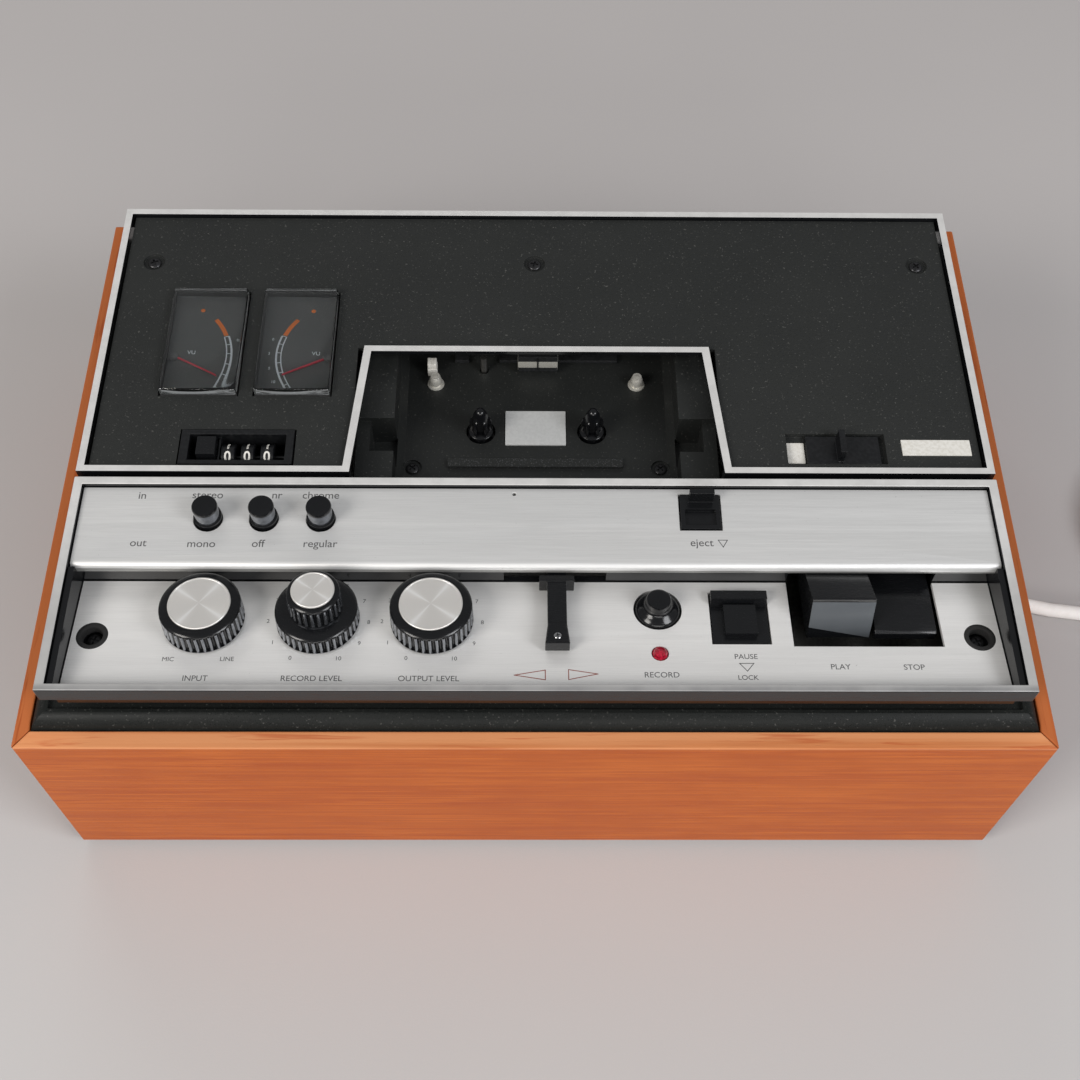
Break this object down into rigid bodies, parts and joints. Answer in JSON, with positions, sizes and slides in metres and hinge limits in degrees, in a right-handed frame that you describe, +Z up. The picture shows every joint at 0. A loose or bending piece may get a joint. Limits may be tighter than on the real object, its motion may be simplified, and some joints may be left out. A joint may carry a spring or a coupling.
{
  "type": "cassette deck",
  "caption": "Top loading stereo cassette deck in a wooden case: open cassette well, two level meters, tape counter, aluminium control panels with knobs, keys and a wind lever, mains cord",
  "frame": {"origin": "centre of the case's footprint, on the surface it stands on", "axes": "+X to the deck's right as its user sees it, +Y to its back, +Z up"},
  "size_m": [0.5713, 0.3311, 0.1349],
  "materials": {
    "case_wood": "satin clear varnish over straight brown grain",
    "base_steel": "plain zinc plated sheet",
    "back_black": "matt black",
    "tray_black": "polished moulded black",
    "surround_black": "glossy black",
    "brushed_aluminium": "fine cross brushed, clear anodised",
    "frame_aluminium": "satin, worn along its outer edge",
    "cover_black": "fine leather like grain",
    "well_black": "fine matt grain",
    "trim_white": "smooth, faintly translucent",
    "key_black": "polished black",
    "knob_black": "fluted black with spun aluminium caps",
    "spindle_black": "smooth black",
    "lamp_red": "clear red with facets",
    "meter_body": "printed grey dial",
    "meter_lens": "clear",
    "needle": "orange red",
    "wheel_black": "black with white figures",
    "screw_black": "blackened, cross recess",
    "turned_steel": "bright turned and pressed steel",
    "pulley_brass": "turned",
    "roller_rubber": "matt",
    "transformer_core": "varnished laminations",
    "board_green": "printed board",
    "socket_metal": "nickel plated",
    "cord_white": "smooth flexible vinyl"
  },
  "bodies": {
    "case": {"case_front": "case_wood", "case_left": "case_wood", "case_right": "case_wood", "base_plate": "base_steel", "chassis": "base_steel", "back_panel": "back_black", "strain_relief": "back_black", "deck_tray": "tray_black", "panel_riser": "surround_black", "counter_body": "surround_black", "button_panel": "brushed_aluminium", "control_panel": "brushed_aluminium", "bezel_frame": "frame_aluminium", "cover_frame": "frame_aluminium", "cover_panel": "cover_black", "cassette_well": "well_black", "well_window": "trim_white", "power_flag": "trim_white", "record_lamp": "lamp_red", "vu_bodies": "meter_body", "vu_lens_left": "meter_lens", "vu_lens_right": "meter_lens", "cover_screw_1": "screw_black", "cover_screw_2": "screw_black", "cover_screw_3": "screw_black", "motor": "turned_steel", "drive_belt": "roller_rubber", "transformer": "transformer_core", "main_board": "board_green", "control_board": "board_green", "socket_strip": "socket_metal", "mains_cord": "cord_white", "cord_coil": "cord_white", "mains_plug": "cord_white"},
    "input_knob_body": {"input_knob": "knob_black"},
    "record_ring_body": {"record_ring": "knob_black"},
    "record_knob_body": {"record_knob": "knob_black"},
    "output_knob_body": {"output_knob": "knob_black"},
    "mode_button_1_body": {"mode_button_1": "key_black"},
    "mode_button_2_body": {"mode_button_2": "key_black"},
    "mode_button_3_body": {"mode_button_3": "key_black"},
    "eject_key_body": {"eject_key": "key_black"},
    "counter_reset_body": {"counter_reset": "key_black"},
    "record_button_body": {"record_button": "key_black"},
    "pause_key_body": {"pause_key": "key_black"},
    "play_key_body": {"play_key": "key_black"},
    "stop_key_body": {"stop_key": "key_black"},
    "wind_lever_body": {"wind_lever": "key_black"},
    "power_slider_body": {"power_slider": "well_black"},
    "counter_wheel_1_body": {"counter_wheel_1": "wheel_black"},
    "counter_wheel_2_body": {"counter_wheel_2": "wheel_black"},
    "counter_wheel_3_body": {"counter_wheel_3": "wheel_black"},
    "spindle_left_body": {"spindle_left": "spindle_black"},
    "spindle_right_body": {"spindle_right": "spindle_black"},
    "head_bridge_body": {"head_bridge": "turned_steel"},
    "pinch_roller_body": {"pinch_roller": "roller_rubber"},
    "flywheel_body": {"flywheel": "turned_steel"},
    "motor_pulley_body": {"motor_pulley": "pulley_brass"},
    "vu_needle_left_body": {"vu_needle_left": "needle"},
    "vu_needle_right_body": {"vu_needle_right": "needle"}
  },
  "joints": [
    {"name": "input_knob_turn", "type": "hinge", "parent": "case", "child": "input_knob_body", "pos_m": [-0.114, -0.07925, 0.11465], "axis": [0, -0.1115, -0.9938], "range_deg": [0, 300]},
    {"name": "record_ring_turn", "type": "hinge", "parent": "case", "child": "record_ring_body", "pos_m": [-0.075, -0.07925, 0.11465], "axis": [0, -0.1115, -0.9938], "range_deg": [0, 300]},
    {"name": "record_knob_turn", "type": "hinge", "parent": "case", "child": "record_knob_body", "pos_m": [-0.075, -0.07925, 0.11465], "axis": [0, -0.1115, -0.9938], "range_deg": [0, 300]},
    {"name": "output_knob_turn", "type": "hinge", "parent": "case", "child": "output_knob_body", "pos_m": [-0.0361, -0.07925, 0.11465], "axis": [0, -0.1115, -0.9938], "range_deg": [0, 300]},
    {"name": "mode_button_1_push", "type": "slide", "parent": "case", "child": "mode_button_1_body", "axis": [0, 0, -1], "range_m": [0, 0.003]},
    {"name": "mode_button_2_push", "type": "slide", "parent": "case", "child": "mode_button_2_body", "axis": [0, 0, -1], "range_m": [0, 0.003]},
    {"name": "mode_button_3_push", "type": "slide", "parent": "case", "child": "mode_button_3_body", "axis": [0, 0, -1], "range_m": [0, 0.003]},
    {"name": "eject_key_push", "type": "slide", "parent": "case", "child": "eject_key_body", "axis": [0, 0, -1], "range_m": [0, 0.0025], "stiffness_N_per_m": 200},
    {"name": "counter_reset_push", "type": "slide", "parent": "case", "child": "counter_reset_body", "axis": [0, 0, -1], "range_m": [0, 0.002], "stiffness_N_per_m": 200},
    {"name": "record_button_push", "type": "slide", "parent": "case", "child": "record_button_body", "axis": [0, -0.1115, -0.9938], "range_m": [0, 0.003]},
    {"name": "pause_key_press", "type": "hinge", "parent": "case", "child": "pause_key_body", "pos_m": [0.06955, -0.04275, 0.108], "axis": [1, 0, 0], "range_deg": [0, 4]},
    {"name": "play_key_press", "type": "hinge", "parent": "case", "child": "play_key_body", "pos_m": [0.1037, -0.04275, 0.108], "axis": [1, 0, 0], "range_deg": [0, 8]},
    {"name": "stop_key_press", "type": "hinge", "parent": "case", "child": "stop_key_body", "pos_m": [0.1266, -0.04275, 0.108], "axis": [1, 0, 0], "range_deg": [0, 5], "stiffness_Nm_per_rad": 0.5},
    {"name": "wind_lever_swing", "type": "hinge", "parent": "case", "child": "wind_lever_body", "pos_m": [0.00665, -0.04089, 0.11035], "axis": [0, 0.1115, 0.9938], "range_deg": [-9, 9], "stiffness_Nm_per_rad": 0.1},
    {"name": "power_slider_slide", "type": "slide", "parent": "case", "child": "power_slider_body", "axis": [-1, 0, 0], "range_m": [0, 0.0062]},
    {"name": "counter_wheel_1_turn", "type": "hinge", "parent": "case", "child": "counter_wheel_1_body", "pos_m": [-0.1119, -0.01345, 0.1172], "axis": [-1, 0, 0], "continuous": true},
    {"name": "counter_wheel_2_turn", "type": "hinge", "parent": "case", "child": "counter_wheel_2_body", "pos_m": [-0.10485, -0.01345, 0.1172], "axis": [-1, 0, 0], "continuous": true},
    {"name": "counter_wheel_3_turn", "type": "hinge", "parent": "case", "child": "counter_wheel_3_body", "pos_m": [-0.0977, -0.01345, 0.1172], "axis": [-1, 0, 0], "continuous": true},
    {"name": "spindle_left_turn", "type": "hinge", "parent": "case", "child": "spindle_left_body", "pos_m": [-0.0213, 0.01075, 0.105], "axis": [0, 0, 1], "continuous": true},
    {"name": "spindle_right_turn", "type": "hinge", "parent": "case", "child": "spindle_right_body", "pos_m": [0.0213, 0.01075, 0.105], "axis": [0, 0, 1], "continuous": true},
    {"name": "head_bridge_slide", "type": "slide", "parent": "case", "child": "head_bridge_body", "axis": [0, -1, 0], "range_m": [0, 0.0045]},
    {"name": "pinch_roller_turn", "type": "hinge", "parent": "head_bridge_body", "child": "pinch_roller_body", "pos_m": [-0.0205, 0.05185, 0.106], "axis": [0, 0, 1], "continuous": true},
    {"name": "flywheel_turn", "type": "hinge", "parent": "case", "child": "flywheel_body", "pos_m": [-0.0205, 0.04045, 0.081], "axis": [0, 0, 1], "continuous": true},
    {"name": "motor_pulley_turn", "type": "hinge", "parent": "case", "child": "motor_pulley_body", "pos_m": [0.055, 0.04045, 0.081], "axis": [0, 0, 1], "continuous": true},
    {"name": "vu_needle_left_swing", "type": "hinge", "parent": "case", "child": "vu_needle_left_body", "pos_m": [-0.1362, 0.03025, 0.12], "axis": [0, 0, 1], "range_deg": [0, 52], "stiffness_Nm_per_rad": 0.0002},
    {"name": "vu_needle_right_swing", "type": "hinge", "parent": "case", "child": "vu_needle_right_body", "pos_m": [-0.08, 0.03025, 0.12], "axis": [0, 0, -1], "range_deg": [0, 52], "stiffness_Nm_per_rad": 0.0002}
  ],
  "couplings": [
    {"joint": "motor_pulley_turn", "follows": "flywheel_turn", "ratio": 8}
  ]
}
